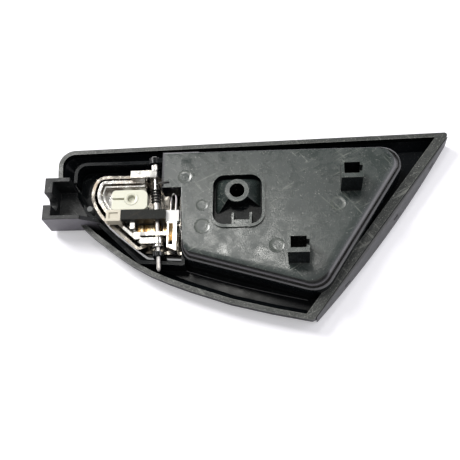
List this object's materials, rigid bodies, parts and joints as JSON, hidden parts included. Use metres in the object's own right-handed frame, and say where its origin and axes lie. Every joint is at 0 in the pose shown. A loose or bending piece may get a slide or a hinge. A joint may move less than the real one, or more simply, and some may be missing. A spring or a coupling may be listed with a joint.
{
  "type": "interior door release handle",
  "caption": "Fin-shaped interior door release handle: black escutcheon with a finger bowl, hinged chrome pull lever, return spring and cable outlet, lying face down.",
  "frame": {"origin": "axis of the mounting screw hole, at its rear mouth", "axes": "+Z out of the handle's back along the screw hole, +X along the handle towards its pointed end, +Y across it in the direction of the hinge pin, which is turned 4.5 degrees from it"},
  "size_m": [0.2267, 0.107, 0.042],
  "materials": {
    "black_plastic": "moulded, semi-gloss",
    "grey_plastic": "fine grain",
    "steel": "zinc plated",
    "spring_black": "phosphated",
    "rubber": "matte",
    "chrome": "bright chrome",
    "bright_plating": "satin bright plating",
    "arm_black": "moulded, satin",
    "post_cream": "satin",
    "white_nylon": "satin",
    "milky_nylon": "translucent, satin"
  },
  "bodies": {
    "escutcheon": {"housing": "black_plastic", "edge_trim": "grey_plastic", "cable_bracket": "black_plastic", "hinge_pin": "steel", "pin_clip": "steel", "return_spring": "spring_black", "spring_sleeve": "steel", "stop_buffer": "rubber"},
    "lever": {"lever_shell": "chrome", "lever_core": "bright_plating", "lever_frame": "bright_plating", "release_arm": "arm_black", "arm_post": "post_cream", "stop_block": "white_nylon", "wire_clip": "chrome", "cable_retainer": "milky_nylon", "retainer_stud": "bright_plating"}
  },
  "joints": [
    {"name": "lever_hinge", "type": "hinge", "parent": "escutcheon", "child": "lever", "pos_m": [-0.0463, 0, -0.012], "axis": [-0.0785, 0.9969, 0], "range_deg": [0, 30], "stiffness_Nm_per_rad": 0.15, "springref_deg": -57.3, "deforming": ["return_spring"]}
  ]
}
